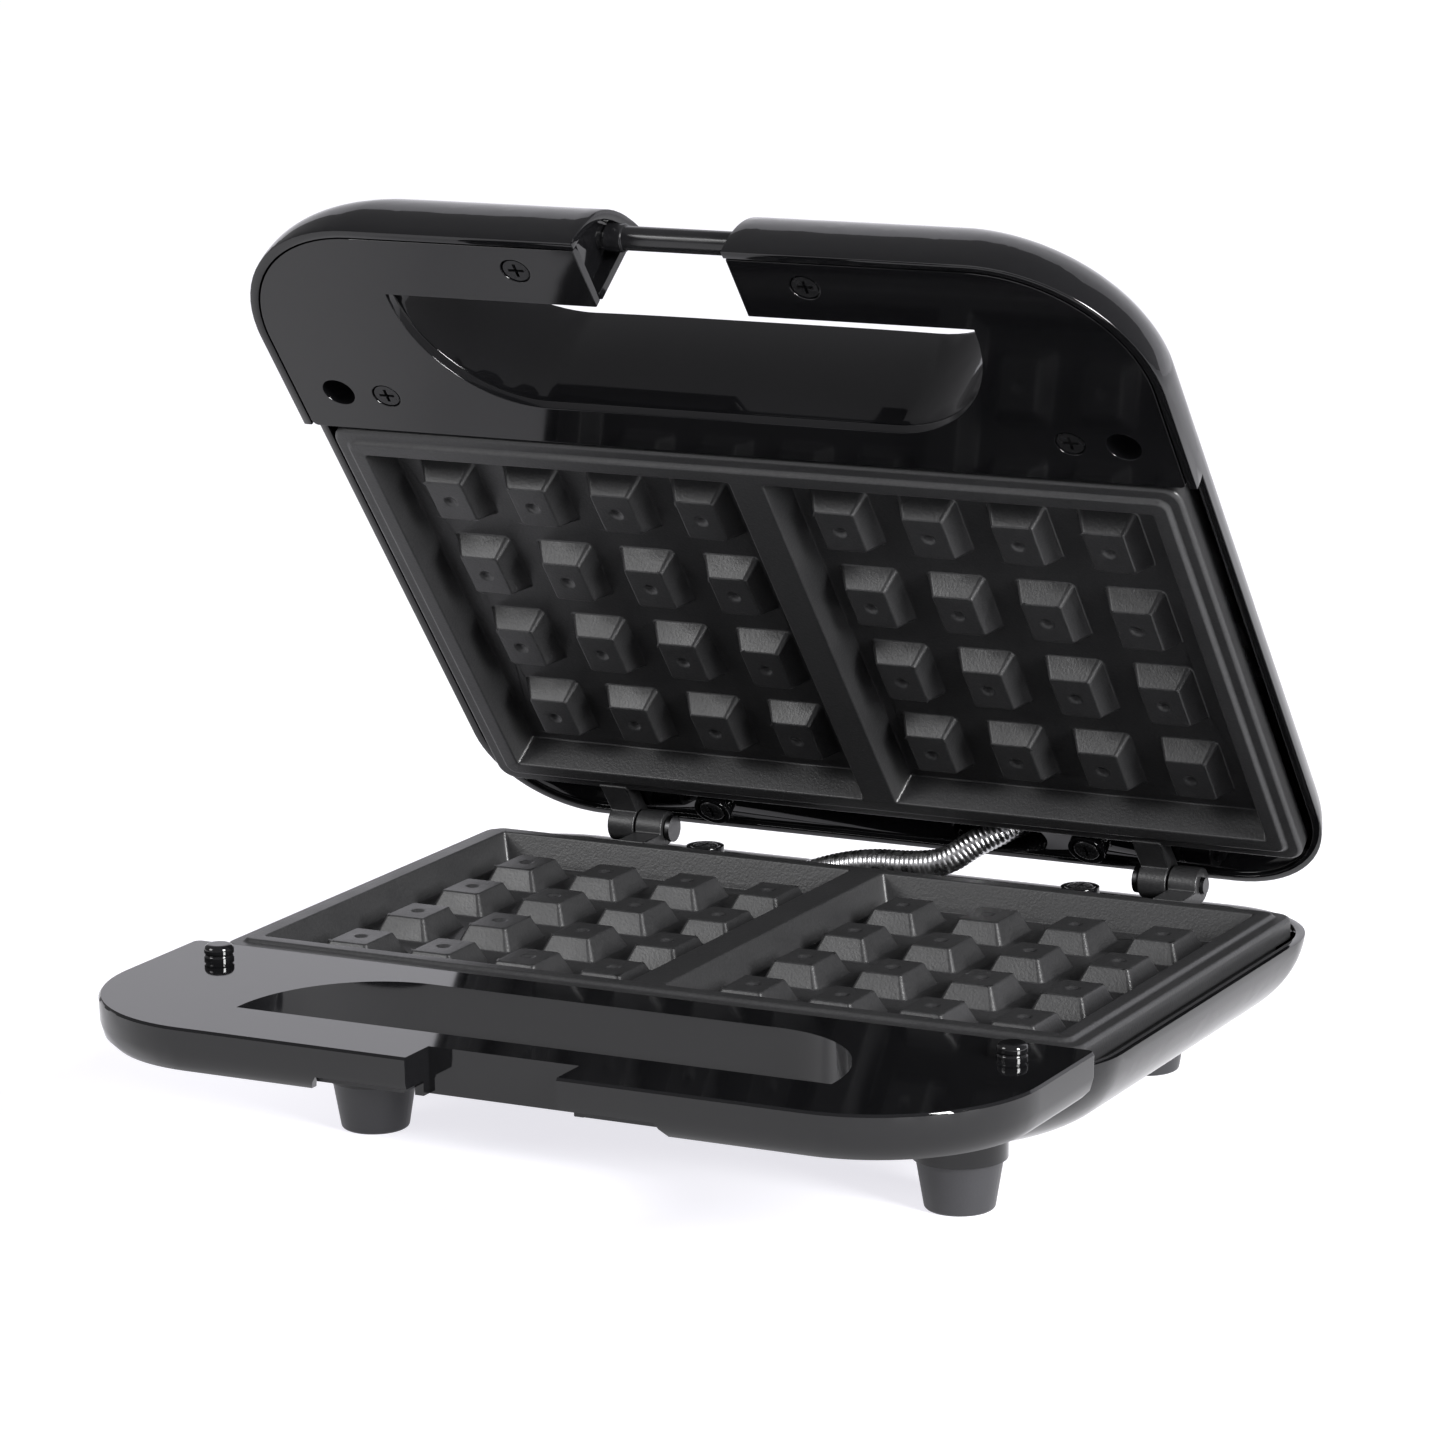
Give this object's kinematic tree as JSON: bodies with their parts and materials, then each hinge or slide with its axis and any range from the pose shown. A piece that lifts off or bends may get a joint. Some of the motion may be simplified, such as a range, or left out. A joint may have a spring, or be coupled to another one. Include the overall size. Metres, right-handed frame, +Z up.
{
  "type": "waffle maker",
  "caption": "Open clamshell waffle maker with hinged non-stick plates, studded wells, gloss black covers, loop handles, stub feet and a flexible steel lead sleeve.",
  "frame": {"origin": "on the table under the middle of the open appliance's bounding box", "axes": "+Z up; -Y towards the user, at the handles; X along the hinge"},
  "size_m": [0.231, 0.23, 0.2186],
  "materials": {
    "non_stick_plate": "die-cast with a fine dark grey non-stick coating",
    "black_screws": "black oxide",
    "feet": "satin moulded",
    "element_sheath": "dull sheathed tube",
    "spring_steel": "plain sheet",
    "reflector_sheet": "bright sheet",
    "gloss_black": "high gloss black",
    "satin_black": "satin",
    "pegs": "gloss",
    "hinge_steel": "plain",
    "latch_rod": "satin black",
    "steel_sleeve": "ribbed wire sleeve",
    "inlet_rubber": "matt",
    "ceramic_white": "unglazed steatite",
    "thermal_parts": "ceramic and tin",
    "red_lens": "translucent red",
    "green_lens": "translucent green",
    "lamp_board": "phenolic board"
  },
  "bodies": {
    "base": {"lower_housing": "gloss_black", "lower_handle": "gloss_black", "lower_handle_under": "satin_black", "lower_handle_screws": "black_screws", "lower_plate": "non_stick_plate", "lower_heating_element": "element_sheath", "lower_element_clamps": "spring_steel", "lower_reflector": "reflector_sheet", "lower_plate_screws": "black_screws", "thermostat": "thermal_parts", "terminal_block": "ceramic_white", "cord_inlet": "inlet_rubber", "lower_flange_screws": "black_screws", "foot_screws": "black_screws", "wire_conduit": "steel_sleeve", "left_hinge_pin": "hinge_steel", "right_hinge_pin": "hinge_steel", "left_peg": "pegs", "right_peg": "pegs", "front_left_foot": "feet", "front_right_foot": "feet", "rear_left_foot": "feet", "rear_right_foot": "feet"},
    "lid": {"upper_housing": "gloss_black", "upper_handle_cover": "gloss_black", "upper_cover_screws": "black_screws", "latch_rod": "latch_rod", "upper_plate": "non_stick_plate", "upper_heating_element": "element_sheath", "upper_element_clamps": "spring_steel", "upper_reflector": "reflector_sheet", "upper_plate_screws": "black_screws", "thermal_fuse": "thermal_parts", "upper_flange_screws": "black_screws", "power_lamp_lens": "red_lens", "ready_lamp_lens": "green_lens", "lamp_holder": "lamp_board"}
  },
  "joints": [
    {"name": "lid_hinge", "type": "hinge", "parent": "base", "child": "lid", "pos_m": [0, 0.09817, 0.045], "axis": [-1, 0, 0], "range_deg": [-51.8, 48], "deforming": ["wire_conduit"]}
  ]
}
